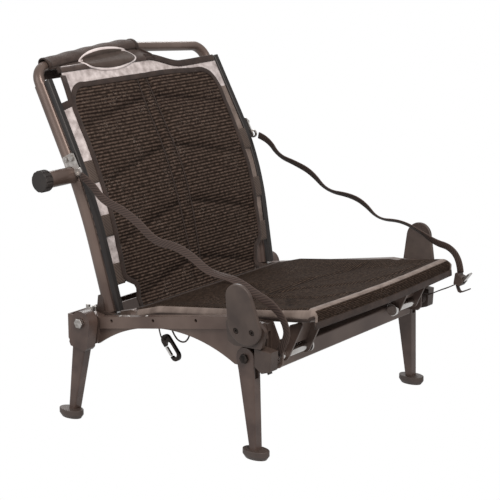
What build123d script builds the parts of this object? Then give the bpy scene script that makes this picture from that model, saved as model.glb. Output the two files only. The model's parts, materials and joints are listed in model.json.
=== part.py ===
"""Folding sit-on-top kayak seat: mesh sling seat and back on a framed base with four fold-out legs.

Millimetres.  X runs across the seat (the sitter's right is -X), the sitter faces -Y, +Z is up.
Side profiles are drawn in the YZ plane.  Everything is modelled symmetric about X = 0 and then
moved by FRAME_SHIFT, so that the origin is the middle of the outer box, on the ground.
"""
import math
import os

from build123d import *

# ---------------------------------------------------------------- driving dimensions
FRAME_SHIFT = Location((17.75, -14.90, 0.0))

RAIL_IN = 245.0             # inner face of each side rail
RAIL_OUT = 263.0            # outer face of each side rail
RAIL_MID = (RAIL_IN + RAIL_OUT) / 2
WEB_T = 6.0                 # web below the rail band
BAND_H = 21.0               # height of the rail band
RAIL_SLOPE = 0.175          # the rail rises towards the front
RAIL_REAR_Y, RAIL_REAR_Z = 150.0, 192.0
RAIL_FRONT_Y = -142.0
HOLE_R = 3.0                # accessory holes through the band
HOLE_Y = (122.0, 25.0, -71.0)

PIVOT_Y, PIVOT_Z = 172.0, 184.0      # bolt shared by the back and the rear legs
FRONT_Y, FRONT_Z = -176.0, 176.0     # front leg bolts
BOLT_R = 5.0
FIT = 0.06                  # radial running clearance
GAP = 0.5                   # side clearance between moving pieces

FRONT_LEG_W, REAR_LEG_W = 18.0, 18.0
REAR_LEG_MID = RAIL_OUT + 7.5 + REAR_LEG_W / 2
FRONT_FOOT_Y, REAR_FOOT_Y = -193.0, 203.0

TUBE_T = 1.8                # wall of the bent tubes
BACK_TUBE_X, BACK_TUBE_Y = 20.0, 26.0    # upright section, across and fore-aft
LOBE_FORWARD = 22.0         # sail-track lobe ahead of the upright's middle
BACK_LOW = (230.0, 152.0, 196.0)         # |X|, Y, Z of the upright's lower end
BACK_BEND = (246.0, 196.0, 400.0)
BACK_HIGH = (241.0, 300.0, 596.0)
BACK_BLEND_R = 640.0
BOW_TOP = (0.0, 322.0, 642.0)            # crown of the top bow
BOW_R = 9.0

SEAT_X = 212.0              # middle of each seat side tube
SEAT_TUBE_R = 10.0
SEAT_REAR = (112.0, 190.0)  # Y, Z
SEAT_KNEE = (45.0, 210.0)
SEAT_FRONT = (-280.0, 254.0)
SEAT_PIVOT = (112.0, 190.0)

WALL = 2.5                  # tube and channel walls
REAR_BAR_Y0, REAR_BAR_Y1 = 200.0, 228.0
REAR_BAR_Z0, REAR_BAR_Z1 = 138.0, 186.0
CROSS_X = 223.0             # half-length of the front crossbar
CROSS_Y0, CROSS_Y1 = -205.0, -163.0
CROSS_Z0, CROSS_Z1 = 148.0, 180.0
FLANGE_T = 4.0
PIN_Y, PIN_Z = -218.0, 178.0         # chrome front pins
PIN_R, PIN_HEAD_R = 7.5, 12.0
PIN_HEAD_X = 140.0          # where each pin's head starts, towards the middle
PADDLE_X, PADDLE_Z0 = 271.0, 205.0
PADDLE_T = 7.0
PADDLE_LEAN = math.radians(9)
LEG_SHOULDER = 22.0         # where the leg's taper starts below its bolt
LEG_END_Z = 4.0             # the leg stops inside its foot's socket
FOOT_H, FOOT_HALF_Y = 7.0, 26.0
SOCKET_TOP = 12.0
BOLT_NUT_T = 3.0

DIAL_Y, DIAL_Z = 217.0, 443.0
ROLLER_R = 6.0

LUG_X0, LUG_X1 = 221.5, 242.0
BOW_CORNER_R, BOW_CROWN_R = 30.0, 560.0
SLEEVE_X = (-206.0, -6.0)
MESH_Z0 = 197.0             # lower edge of the back sling
BAND_W = 38.0
BAND_PLACES = ((265.0, 218.0), (352.0, 226.0), (446.0, 230.0))   # Z and half-length of each band
DIAL_X0, DIAL_X1 = 321.0, 338.0
ANCHOR_X = 255.5            # outer face of the uprights at the strap anchors
DIAL_R = 19.5
DIAL_BARREL_R = 14.7

ANCHOR = (214.0, 460.0)     # Y, Z of the strap anchors on the uprights
ANCHOR_LEAN = -28.0
ANCHOR_HOLES = ((6, 15), (-8, 12))
SHACKLE = (196.0, 452.0)
STRAP_W = 14.0              # width of the side straps
SEAT_EDGE_X = 221.0         # half-width of the seat sling
HINGE_X0, HINGE_X1 = 188.0, 200.0
PROP_X = ((144.0, 148.0), (206.0, 210.0))    # the two ears of each prop
CLIP_X = 226.0
CLIP_TOP = (31.0, 170.0)
CLIP_LEAN = 40.0
GATE_L = 19.0               # length of the clip's sprung gate

# Side straps: points of each strap's route from its anchor to the front, in order.
STRAP_RIGHT = [
    (-265, 186, 447), (-264, 163, 437), (-263, 138, 409), (-262, 98, 398), (-261, 58, 379), (-261, 19, 349),
    (-260, -24, 348), (-259, -62, 334), (-258, -96, 311), (-257, -150, 309), (-253, -192, 288),
    (-247, -224, 272), (-241, -243, 246), (-237, -246, 215), (-236, -225, 187),
]
STRAP_LEFT = [
    (265, 186, 449), (264, 161, 443), (263, 134, 412), (262, 92, 402), (261, 52, 388), (260, 14, 355),
    (260, -40, 353), (259, -74, 342), (258, -108, 314), (257, -158, 318), (254, -200, 306),
    (250, -240, 288), (246, -275, 285), (242, -298, 264), (240, -302, 241),
]

os.makedirs("parts", exist_ok=True)
made = []


def finish(build, name):
    """Label a finished piece, move it into the part's frame and write its STEP file."""
    shape = build.part if hasattr(build, "part") else build
    shape = shape.moved(FRAME_SHIFT)
    shape.label = name
    export_step(shape, f"parts/{name}.step")
    made.append(name)


def both_sides(build, name):
    """Write a piece made on the +X side as NAME_left, and its mirror image as NAME_right."""
    finish(build, f"{name}_left")
    finish(mirror(build.part, about=Plane.YZ), f"{name}_right")


def rail_top(y):
    return RAIL_REAR_Z + (RAIL_REAR_Y - y) * RAIL_SLOPE


def side_plane(x):
    """Plane for a side profile: local x is Y, local y is Z, and it extrudes towards +X."""
    return Plane(origin=(x, 0, 0), x_dir=(0, 1, 0), z_dir=(1, 0, 0))


def x_cylinder(radius, x0, x1, y, z, mode=Mode.ADD):
    """A round bar or hole along X."""
    with BuildSketch(side_plane(x0)) as disc:
        with Locations((y, z)):
            Circle(radius)
    extrude(disc.sketch, amount=x1 - x0, mode=mode)


# ---------------------------------------------------------------- base frame
with BuildPart() as side_rail:
    # arched web, down to the two leg corners
    with BuildSketch(side_plane(RAIL_MID - WEB_T / 2)):
        with BuildLine():
            Line((200, 140), (159, 140))
            ThreePointArc((159, 140), (4, 194), (-150, 160))
            Line((-150, 160), (-162, 160))
            ThreePointArc((-162, 160), (FRONT_Y - 14, FRONT_Z), (FRONT_Y, FRONT_Z + 14))
            Line((FRONT_Y, FRONT_Z + 14), (-160, rail_top(-142) - BAND_H))
            Line((-160, rail_top(-142) - BAND_H), (-142, rail_top(-142) - 6))
            Line((-142, rail_top(-142) - 6), (200, 183))
            Line((200, 183), (200, 140))
        make_face()
    extrude(amount=WEB_T)
    # band along the top edge
    with BuildSketch(side_plane(RAIL_IN)):
        with BuildLine():
            Polyline(
                (RAIL_REAR_Y, rail_top(RAIL_REAR_Y)),
                (RAIL_FRONT_Y, rail_top(RAIL_FRONT_Y)),
                (-162, rail_top(RAIL_FRONT_Y)),
                (-164, rail_top(RAIL_FRONT_Y) - 27),
                (RAIL_FRONT_Y - 4, rail_top(RAIL_FRONT_Y) - BAND_H),
                (RAIL_REAR_Y, rail_top(RAIL_REAR_Y) - BAND_H),
                close=True,
            )
        make_face()
    extrude(amount=RAIL_OUT - RAIL_IN)
    # rear corner block that carries the shared bolt
    with BuildSketch(side_plane(RAIL_IN)):
        with BuildLine():
            Polyline((RAIL_REAR_Y, 192), (186, 197), (199, 186), (199, 140), (159, 140), (154, 160), close=True)
        make_face()
        fillet(vertices().group_by(Axis.Z)[-1], 6)
    extrude(amount=RAIL_OUT - RAIL_IN)
    x_cylinder(BOLT_R, RAIL_IN - 1, RAIL_OUT + 1, PIVOT_Y, PIVOT_Z, mode=Mode.SUBTRACT)
    x_cylinder(BOLT_R, RAIL_IN - 1, RAIL_OUT + 1, FRONT_Y, FRONT_Z, mode=Mode.SUBTRACT)
    for hole_y in HOLE_Y:
        x_cylinder(HOLE_R, RAIL_IN - 1, RAIL_OUT + 1, hole_y, rail_top(hole_y) - 7, mode=Mode.SUBTRACT)
both_sides(side_rail, "side_rail")

with BuildPart() as rear_crossbar:
    # upward-open channel, closed at both ends
    with Locations((0, (REAR_BAR_Y0 + REAR_BAR_Y1) / 2, (REAR_BAR_Z0 + REAR_BAR_Z1) / 2)):
        Box(2 * RAIL_OUT, REAR_BAR_Y1 - REAR_BAR_Y0, REAR_BAR_Z1 - REAR_BAR_Z0)
    fillet(rear_crossbar.edges().filter_by(Axis.X).group_by(Axis.Z)[0], 3)
    with Locations((0, (REAR_BAR_Y0 + REAR_BAR_Y1) / 2, (REAR_BAR_Z0 + REAR_BAR_Z1) / 2 + WALL)):
        inner = (2 * RAIL_OUT - 2 * WALL, REAR_BAR_Y1 - REAR_BAR_Y0 - 2 * WALL, REAR_BAR_Z1 - REAR_BAR_Z0)
        Box(*inner, mode=Mode.SUBTRACT)
finish(rear_crossbar, "rear_crossbar")

cross_mid = ((CROSS_Y0 + CROSS_Y1) / 2, (CROSS_Z0 + CROSS_Z1) / 2)
with BuildPart() as front_crossbar:
    with BuildSketch(side_plane(-CROSS_X)):
        with Locations(cross_mid):
            RectangleRounded(CROSS_Y1 - CROSS_Y0, CROSS_Z1 - CROSS_Z0, 4)
            RectangleRounded(CROSS_Y1 - CROSS_Y0 - 2 * WALL, CROSS_Z1 - CROSS_Z0 - 2 * WALL, 2, mode=Mode.SUBTRACT)
    extrude(amount=2 * CROSS_X)
    # welded end flanges that stand up beside the seat tubes and hold the front pins
    for x0 in (CROSS_X, -CROSS_X - FLANGE_T):
        with BuildSketch(side_plane(x0)) as flange:
            with BuildLine():
                Polyline((-228, 166), (-222, 158), (-164, 158), (-160, 164), (-160, 236), (-206, 238), (-228, 190), close=True)
            make_face()
            fillet(flange.vertices(), 4)
            with Locations((PIN_Y, PIN_Z)):
                Circle(PIN_R, mode=Mode.SUBTRACT)
        extrude(flange.sketch, amount=FLANGE_T)
finish(front_crossbar, "front_crossbar")

with BuildPart() as corner_block:
    # moulded block between flange and rail, hollow towards the front
    with BuildSketch(side_plane(CROSS_X + FLANGE_T)):
        with BuildLine():
            Polyline((-206, 186), (-200, 165), (-120, 172), (-120, 204), (-150, 226), (-206, 236), close=True)
        make_face()
    extrude(amount=RAIL_IN - 5 - CROSS_X - FLANGE_T)
    with Locations((CROSS_X + FLANGE_T + 6.5, -180, 200)):
        Box(7, 60, 44, mode=Mode.SUBTRACT)
both_sides(corner_block, "corner_block")

with BuildPart() as front_pin:
    x_cylinder(PIN_R, PIN_HEAD_X, RAIL_IN, PIN_Y, PIN_Z)
    x_cylinder(PIN_HEAD_R, PIN_HEAD_X - 5, PIN_HEAD_X, PIN_Y, PIN_Z)
    fillet(front_pin.edges().filter_by(GeomType.CIRCLE).sort_by(Axis.X)[0], 1.5)
both_sides(front_pin, "front_pin")

with BuildPart() as pin_housing:
    # cup at the rail's front end that holds the pin's outer end
    with BuildSketch(side_plane(RAIL_IN)) as cup:
        with BuildLine():
            Polyline((-197, 199), (-197, 166), (-212, 156), (-230, 162), (-232, 196), close=True)
        make_face()
        fillet(cup.vertices().group_by(Axis.Y)[0] + cup.vertices().sort_by(Axis.Y)[1:3], 3)
    extrude(amount=RAIL_OUT + 3 - RAIL_IN)
    chamfer(pin_housing.faces().sort_by(Axis.X)[-1].edges(), 1.2)
both_sides(pin_housing, "pin_housing")

with BuildPart() as paddle_bracket:
    # stand-off plate on the rail's front end
    with BuildSketch(side_plane(RAIL_OUT)) as plate:
        with BuildLine():
            Polyline((-146, 204), (-142, 240), (-208, 246), (-224, 232), (-216, 200), (-160, 198), close=True)
        make_face()
        fillet(plate.vertices(), 5)
    extrude(amount=PADDLE_X - RAIL_OUT)
    with BuildSketch(side_plane(RAIL_IN)):
        with BuildLine():
            Polyline((-164.5, 240), (-206, 240), (-212, 214), (-197, 203), (-165, 212), close=True)
        make_face()
    extrude(amount=RAIL_OUT - RAIL_IN)
both_sides(paddle_bracket, "paddle_bracket")

paddle_plane = Plane(
    origin=(PADDLE_X, 0, PADDLE_Z0),
    x_dir=(0, 1, 0),
    z_dir=(math.cos(PADDLE_LEAN), 0, -math.sin(PADDLE_LEAN)),
)
screw_spots = [(-171, 24), (-204, 26)]
with BuildPart() as paddle:
    # egg-shaped hand paddle, leaning outwards
    with BuildSketch(paddle_plane):
        lower_round = Pos(-188, 33) * Edge.make_circle(34)
        upper_round = Pos(-183, 82) * Edge.make_circle(27)
        make_hull(edges=[lower_round, upper_round])
    extrude(amount=PADDLE_T)
    fillet(paddle.edges().filter_by(GeomType.LINE, reverse=True), 2.4)
    with BuildSketch(paddle_plane.offset(PADDLE_T)):
        with Locations(*screw_spots):
            Circle(5.5)
    extrude(amount=-3, mode=Mode.SUBTRACT)
both_sides(paddle, "paddle")


# ---------------------------------------------------------------- legs and feet
def leg_frame(pivot, foot):
    """Return a function that turns (distance down the leg, distance towards the front) into (Y, Z)."""
    length = math.dist(pivot, foot)
    down = ((foot[0] - pivot[0]) / length, (foot[1] - pivot[1]) / length)
    front = (down[1], -down[0])

    def place(u, w):
        return (pivot[0] + down[0] * u + front[0] * w, pivot[1] + down[1] * u + front[1] * w)

    return place, length


def leg_outline(place, length, head_r, top_half, foot_half):
    """Sketch of a leg seen from the side: round head, then a taper to the foot."""
    with Locations(place(0, 0)):
        Circle(head_r)
    with BuildLine() as taper:
        Polyline(
            place(0, -head_r),
            place(LEG_SHOULDER, -top_half),
            place(length, -foot_half),
            place(length, foot_half),
            place(LEG_SHOULDER, top_half),
            place(0, head_r),
            close=True,
        )
    make_face(taper.edges())


front_place, front_len = leg_frame((FRONT_Y, FRONT_Z), (FRONT_FOOT_Y, LEG_END_Z))
leg_in, leg_out = RAIL_MID - FRONT_LEG_W / 2, RAIL_MID + FRONT_LEG_W / 2
with BuildPart() as front_leg:
    # channel, open towards the back, that swallows the arched web as it folds
    with BuildSketch(side_plane(leg_in)):
        leg_outline(front_place, front_len, 19, 16.5, 6)
    extrude(amount=FRONT_LEG_W)
    fillet(front_leg.edges().filter_by(Axis.X, reverse=True).group_by(Axis.X)[-1], 2.0)
    with BuildSketch(side_plane(RAIL_MID - WEB_T / 2 - 2)):
        with BuildLine():
            Polyline(
                front_place(-25, 25),
                front_place(35, 25),
                front_place(36, 12.5),
                front_place(front_len - 34, 3.5),
                front_place(front_len - 32, -20),
                front_place(-25, -25),
                close=True,
            )
        make_face()
    extrude(amount=WEB_T + 4, mode=Mode.SUBTRACT)
    x_cylinder(BOLT_R + FIT, leg_in - 1, leg_out + 1, FRONT_Y, FRONT_Z, mode=Mode.SUBTRACT)
both_sides(front_leg, "front_leg")

rear_place, rear_len = leg_frame((PIVOT_Y, PIVOT_Z), (REAR_FOOT_Y, LEG_END_Z))
rear_in = REAR_LEG_MID - REAR_LEG_W / 2
with BuildPart() as rear_leg:
    # moulded leg outside the rail, with a wide knuckle round the shared bolt
    with BuildSketch(side_plane(rear_in)):
        leg_outline(rear_place, rear_len, 21, 16.5, 6.5)
    extrude(amount=REAR_LEG_W)
    fillet(rear_leg.edges().filter_by(Axis.X, reverse=True).group_by(Axis.X)[-1], 3.0)
    # knuckle skirt that ends in a step
    with BuildSketch(side_plane(rear_in - 3)) as skirt:
        with Locations(rear_place(0, 0)):
            Circle(21)
        with BuildLine():
            Polyline(rear_place(0, -21), rear_place(44, -21), rear_place(50, -17), rear_place(50, 17),
                     rear_place(44, 21), rear_place(0, 21), close=True)
        make_face()
    extrude(amount=REAR_LEG_W + 5)
    x_cylinder(14, RAIL_OUT + GAP, rear_in, PIVOT_Y, PIVOT_Z)
    x_cylinder(BOLT_R + FIT, RAIL_OUT, REAR_LEG_MID + REAR_LEG_W, PIVOT_Y, PIVOT_Z, mode=Mode.SUBTRACT)
both_sides(rear_leg, "rear_leg")


def foot_pad(x, y, half_x, lean_y, socket_x):
    """Boat-shaped foot with a raised rim and a socket round the end of the leg."""
    with BuildPart() as pad:
        with BuildSketch(Plane((x, y, 0))) as sole:
            Ellipse(half_x - 4, FOOT_HALF_Y - 5)
        with BuildSketch(Plane((x, y, FOOT_H))) as rim:
            Ellipse(half_x, FOOT_HALF_Y)
        loft([sole.sketch, rim.sketch])
        with BuildSketch(Plane((x, y, 3))) as dish_low:
            Ellipse(half_x - 4, FOOT_HALF_Y - 5)
        with BuildSketch(Plane((x, y, FOOT_H))) as dish_high:
            Ellipse(half_x - 2, FOOT_HALF_Y - 2)
        loft([dish_low.sketch, dish_high.sketch], mode=Mode.SUBTRACT)
        with BuildSketch(Plane((socket_x, y, 3))):
            RectangleRounded(20, 17 + lean_y, 4)
        extrude(amount=SOCKET_TOP - 3)
        fillet(pad.edges().group_by(Axis.Z)[-1], 1.0)
    return pad


both_sides(foot_pad(RAIL_MID, FRONT_FOOT_Y, 16.5, 1, RAIL_MID), "front_foot")
both_sides(foot_pad(rear_in + 16, REAR_FOOT_Y, 16, 2, REAR_LEG_MID + 1), "rear_foot")


def hex_bolt(x_head, x_end, y, z, radius, head_r, head_t):
    """Bolt along X with its head towards the outside and a nut on its inner end."""
    with BuildPart() as bolt:
        x_cylinder(radius, x_end, x_head, y, z)
        for x0, width in ((x_head, head_t), (x_end, BOLT_NUT_T)):
            with BuildSketch(side_plane(x0)) as flats:
                with Locations((y, z)):
                    RegularPolygon(head_r, 6)
            extrude(flats.sketch, amount=width)
        fillet(bolt.edges().group_by(Axis.X)[-1], 0.8)
    return bolt


def both_in_one(build, name):
    """Write the +X piece and its mirror image as two solids of one node."""
    twin = mirror(build.part, about=Plane.YZ)
    finish(Compound([*build.part.solids(), *twin.solids()]), name)


both_in_one(hex_bolt(leg_out + GAP, RAIL_IN - 4.5, FRONT_Y, FRONT_Z, BOLT_R, 8.5, 5), "front_leg_bolts")
both_in_one(hex_bolt(rear_in + REAR_LEG_W + 3, 218.0, PIVOT_Y, PIVOT_Z, BOLT_R, 9.5, 6), "pivot_bolts")

with BuildPart() as wing_nut:
    with BuildSketch(Plane((RAIL_MID, 178, 197.2))):
        Circle(6)
    extrude(amount=5)
    with BuildSketch(Plane((RAIL_MID, 178, 199))):
        RectangleRounded(5, 24, 2)
    extrude(amount=9)
    with Locations((RAIL_MID, 178, 208)):
        Box(6, 9, 6, mode=Mode.SUBTRACT)
both_in_one(wing_nut, "wing_nuts")


# ---------------------------------------------------------------- backrest frame
def forward_of_back(distance):
    """(Y, Z) of the back's lower end, bend and upper end, moved forward by a distance."""
    low, bend, high = (Vector(p[1], p[2]) for p in (BACK_LOW, BACK_BEND, BACK_HIGH))
    lower_dir, upper_dir = (bend - low).normalized(), (high - bend).normalized()
    lower_n = Vector(-lower_dir.Y, lower_dir.X)
    upper_n = Vector(-upper_dir.Y, upper_dir.X)
    half = math.radians(lower_dir.get_angle(upper_dir)) / 2
    bend_n = (lower_n + upper_n).normalized() * (distance / math.cos(half))
    moved = (low + lower_n * distance, bend + bend_n, high + upper_n * distance)
    return [(p.X, p.Y) for p in moved]


with BuildPart() as back_upright:
    # oval tube with a sail-track lobe along its front
    with BuildLine() as upright_path:
        FilletPolyline(BACK_LOW, BACK_BEND, BACK_HIGH, radius=BACK_BLEND_R)
    start = Plane(origin=BACK_LOW, x_dir=(1, 0, 0), z_dir=upright_path.line % 0)
    with BuildSketch(start):
        Ellipse(BACK_TUBE_X / 2, BACK_TUBE_Y / 2)
        Ellipse(BACK_TUBE_X / 2 - TUBE_T, BACK_TUBE_Y / 2 - TUBE_T, mode=Mode.SUBTRACT)
        with Locations((0, -15)):
            Rectangle(5, 7)
        with Locations((0, -LOBE_FORWARD)):
            RectangleRounded(14, 11, 4)
    sweep(path=upright_path.line)
    x_cylinder(ROLLER_R + FIT, BACK_BEND[0] - 30, BACK_BEND[0] + 20, DIAL_Y, DIAL_Z, mode=Mode.SUBTRACT)
both_sides(back_upright, "back_upright")

with BuildPart() as recline_lug:
    # plate from the upright's foot back to the shared bolt
    with BuildSketch(side_plane(LUG_X0)):
        with Locations((PIVOT_Y, PIVOT_Z)):
            Circle(13)
        with BuildLine():
            Polyline((136, 195), (139, 186), (164, 172.5), (176, 196.5), (172, 226), (160, 226), (158, 198), close=True)
        make_face()
        with Locations((PIVOT_Y, PIVOT_Z)):
            Circle(BOLT_R + FIT, mode=Mode.SUBTRACT)
    extrude(amount=LUG_X1 - LUG_X0)
    fillet(recline_lug.edges().filter_by(Axis.X).group_by(Axis.Z)[-1], 3)
both_sides(recline_lug, "recline_lug")

bow_knee = (BACK_HIGH[0] - 1, BACK_HIGH[1] + 15, BACK_HIGH[2] + 28)
bow_points = [
    BACK_HIGH,
    bow_knee,
    BOW_TOP,
    (-bow_knee[0], *bow_knee[1:]),
    (-BACK_HIGH[0], *BACK_HIGH[1:]),
]
with BuildPart() as top_bow:
    # crowned tube across the top
    with BuildLine() as bow_path:
        FilletPolyline(*bow_points, radius=[BOW_CORNER_R, BOW_CROWN_R, BOW_CORNER_R])
    with BuildSketch(Plane(origin=BACK_HIGH, x_dir=(0, 1, 0), z_dir=bow_path.line % 0)):
        Ellipse(BOW_R + 2, BOW_R)
        Ellipse(BOW_R + 2 - TUBE_T, BOW_R - TUBE_T, mode=Mode.SUBTRACT)
    sweep(path=bow_path.line)
finish(top_bow, "top_bow")

with BuildPart() as top_sleeve:
    # fabric sleeve on the bow, pushed over towards the sitter's right
    slope = math.atan2(BOW_TOP[2] - bow_knee[2], bow_knee[0])
    drop = (BOW_TOP[2] - bow_knee[2]) / bow_knee[0]
    back_drift = (BOW_TOP[1] - bow_knee[1]) / bow_knee[0]
    x0 = SLEEVE_X[0]
    foot = (x0, BOW_TOP[1] + back_drift * x0, BOW_TOP[2] + drop * x0)
    along = Vector(1, back_drift, drop).normalized()
    with BuildSketch(Plane(origin=foot, x_dir=(0, 1, 0), z_dir=along)):
        Ellipse(BOW_R + 5.0, BOW_R + 3.2)
        Ellipse(BOW_R + 2.4, BOW_R + 0.4, mode=Mode.SUBTRACT)
    extrude(amount=SLEEVE_X[1] - x0)
finish(top_sleeve, "top_sleeve")

# ---------------------------------------------------------------- back sling
front_line, rear_line = forward_of_back(LOBE_FORWARD + 1.5), forward_of_back(LOBE_FORWARD - 1.5)
with BuildPart() as back_mesh:
    with BuildSketch(side_plane(-240)) as sling:
        with BuildLine():
            FilletPolyline(*front_line, radius=BACK_BLEND_R)
            Line(front_line[2], rear_line[2])
            FilletPolyline(*reversed(rear_line), radius=BACK_BLEND_R + 3)
            Line(rear_line[0], front_line[0])
        make_face()
    extrude(amount=480)
    with BuildSketch(Plane.XZ.offset(-400)):
        with BuildLine():
            Polyline((-183, MESH_Z0), (-184.5, 238), (-192, 248), (-221.5, 250), (-237.5, 400), (-232.5, 612),
                     (232.5, 612), (237.5, 400), (221.5, 250), (192, 248), (184.5, 238), (183, MESH_Z0), close=True)
        make_face()
    extrude(amount=400, mode=Mode.INTERSECT)
finish(back_mesh, "back_mesh")

band_front, band_rear = forward_of_back(LOBE_FORWARD - 3.0), forward_of_back(LOBE_FORWARD - 4.6)
with BuildPart() as tension_bands:
    # webbing bands behind the sling, track to track
    for z0, half_x in BAND_PLACES:
        with BuildSketch(side_plane(-half_x)) as band_strip:
            with BuildLine():
                FilletPolyline(*band_front, radius=BACK_BLEND_R + 3)
                Line(band_front[2], band_rear[2])
                FilletPolyline(*reversed(band_rear), radius=BACK_BLEND_R + 5)
                Line(band_rear[0], band_front[0])
            make_face()
            with Locations((200, z0)):
                Rectangle(400, BAND_W, mode=Mode.INTERSECT)
        extrude(band_strip.sketch, amount=2 * half_x)
finish(Compound(tension_bands.part.solids()), "tension_bands")

# ---------------------------------------------------------------- lumbar dial, on the sitter's right
with BuildPart() as lumbar_roller:
    x_cylinder(ROLLER_R, -DIAL_X1 + 3, BACK_BEND[0] + 12, DIAL_Y, DIAL_Z)
finish(lumbar_roller, "lumbar_roller")

with BuildPart() as dial_housing:
    x_cylinder(DIAL_BARREL_R, -DIAL_X0, -BACK_BEND[0] - 7, DIAL_Y, DIAL_Z)
    chamfer(dial_housing.edges().group_by(Axis.X)[0], 1.5)
    x_cylinder(ROLLER_R + FIT, -DIAL_X0 - 1, -BACK_BEND[0], DIAL_Y, DIAL_Z, mode=Mode.SUBTRACT)
finish(dial_housing, "dial_housing")

with BuildPart() as dial_knob:
    x_cylinder(DIAL_R, -DIAL_X1, -DIAL_X0 - GAP, DIAL_Y, DIAL_Z)
    chamfer(dial_knob.edges().group_by(Axis.X)[0], 2)
    with BuildSketch(side_plane(-DIAL_X1)) as grips:
        with Locations((DIAL_Y, DIAL_Z)):
            with PolarLocations(DIAL_R + 1, 12):
                Circle(2.6)
    extrude(grips.sketch, amount=DIAL_X1 - DIAL_X0 - 2, mode=Mode.SUBTRACT)
    x_cylinder(ROLLER_R, -DIAL_X1 + 3, -DIAL_X0, DIAL_Y, DIAL_Z, mode=Mode.SUBTRACT)
finish(dial_knob, "dial_knob")


# ---------------------------------------------------------------- strap anchors
with BuildPart() as strap_anchor:
    with BuildSketch(side_plane(ANCHOR_X)):
        with Locations(Location((*ANCHOR, 0), ANCHOR_LEAN)):
            RectangleRounded(28, 42, 5)
            with Locations(*ANCHOR_HOLES):
                Circle(3, mode=Mode.SUBTRACT)
        with Locations((DIAL_Y, DIAL_Z)):
            Circle(DIAL_BARREL_R + 0.7, mode=Mode.SUBTRACT)
    extrude(amount=3)
    # shackle that the strap is sewn round
    with BuildSketch(side_plane(ANCHOR_X + 3)):
        with Locations(SHACKLE):
            Circle(8)
            Circle(5, mode=Mode.SUBTRACT)
        with Locations((DIAL_Y, DIAL_Z)):
            Circle(DIAL_BARREL_R + 0.7, mode=Mode.SUBTRACT)
    extrude(amount=4)
both_sides(strap_anchor, "strap_anchor")

with BuildPart() as anchor_bolt:
    bolt_spots = Location((*ANCHOR, 0), ANCHOR_LEAN)
    for hole in ANCHOR_HOLES:
        spot = bolt_spots * Location((*hole, 0))
        with BuildSketch(side_plane(ANCHOR_X)) as shank:
            with Locations(spot):
                Circle(3)
        extrude(shank.sketch, amount=3)
        with BuildSketch(side_plane(ANCHOR_X + 3)) as head:
            with Locations(spot):
                RegularPolygon(5.8, 6)
        extrude(head.sketch, amount=4)
both_in_one(anchor_bolt, "anchor_bolts")

with BuildPart() as paddle_screw:
    for spot in screw_spots:
        with BuildSketch(paddle_plane.offset(PADDLE_T - 3)) as cap:
            with Locations(spot):
                Circle(4.6)
                RegularPolygon(2.2, 6, mode=Mode.SUBTRACT)
        extrude(cap.sketch, amount=2.4)
both_in_one(paddle_screw, "paddle_screws")

# ---------------------------------------------------------------- seat
seat_right = [(-SEAT_X, *SEAT_REAR), (-SEAT_X, *SEAT_KNEE), (-SEAT_X, *SEAT_FRONT)]
seat_left = [(SEAT_X, *SEAT_FRONT), (SEAT_X, *SEAT_KNEE), (SEAT_X, *SEAT_REAR)]
seat_nose = (0, SEAT_FRONT[0] - 10, SEAT_FRONT[1] + 3)
with BuildPart() as seat_frame:
    # one bent tube: up one side, bowed across the front, back down the other
    with BuildLine() as seat_path:
        FilletPolyline(*seat_right, seat_nose, *seat_left, radius=[110, 32, 900, 32, 110])
    with BuildSketch(Plane(origin=seat_right[0], x_dir=(1, 0, 0), z_dir=seat_path.line % 0)):
        Circle(SEAT_TUBE_R)
        Circle(SEAT_TUBE_R - TUBE_T, mode=Mode.SUBTRACT)
    sweep(path=seat_path.line)
    # moulded ends that turn on the hinge pins
    for x0 in (SEAT_X - SEAT_TUBE_R, -SEAT_X - 7):
        x_cylinder(12, x0, x0 + SEAT_TUBE_R + 7, *SEAT_PIVOT)
        x_cylinder(BOLT_R + FIT, x0 - 1, x0 + SEAT_TUBE_R + 8, *SEAT_PIVOT, mode=Mode.SUBTRACT)
finish(seat_frame, "seat_frame")

with BuildPart() as seat_rear_tube:
    x_cylinder(7, -SEAT_X + 9, SEAT_X - 9, 84, 198)
    x_cylinder(5.5, -SEAT_X + 8, SEAT_X - 8, 84, 198, mode=Mode.SUBTRACT)
finish(seat_rear_tube, "seat_rear_tube")

with BuildPart() as seat_mesh:
    # sling over the tubes, wrapped down round the front tube
    with BuildSketch(side_plane(-SEAT_EDGE_X)):
        with BuildLine():
            Polyline(
                (98, 207), (44, 223.6), (-278, 270.4), (-298, 271.5), (-305.3, 263), (-306, 246),
                (-303, 246), (-302, 262), (-296, 268.5), (-278, 267.4), (43, 220.8), (98, 204.4), close=True,
            )
        make_face()
    extrude(amount=2 * SEAT_EDGE_X)
finish(seat_mesh, "seat_mesh")

with BuildPart() as seat_hinge_bracket:
    # arm from the rear crossbar, with the pin welded through its eye
    with BuildSketch(side_plane(HINGE_X0)):
        eye = Pos(*SEAT_PIVOT) * Edge.make_circle(10)
        upper_root = Pos(REAR_BAR_Y0 - 4, 172) * Edge.make_circle(4)
        lower_root = Pos(REAR_BAR_Y0 - 4, 148) * Edge.make_circle(4)
        make_hull(edges=[eye, upper_root, lower_root])
    extrude(amount=HINGE_X1 - HINGE_X0)
    x_cylinder(BOLT_R, HINGE_X0 - 2, SEAT_X + 7, *SEAT_PIVOT)
both_sides(seat_hinge_bracket, "seat_hinge_bracket")

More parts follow.
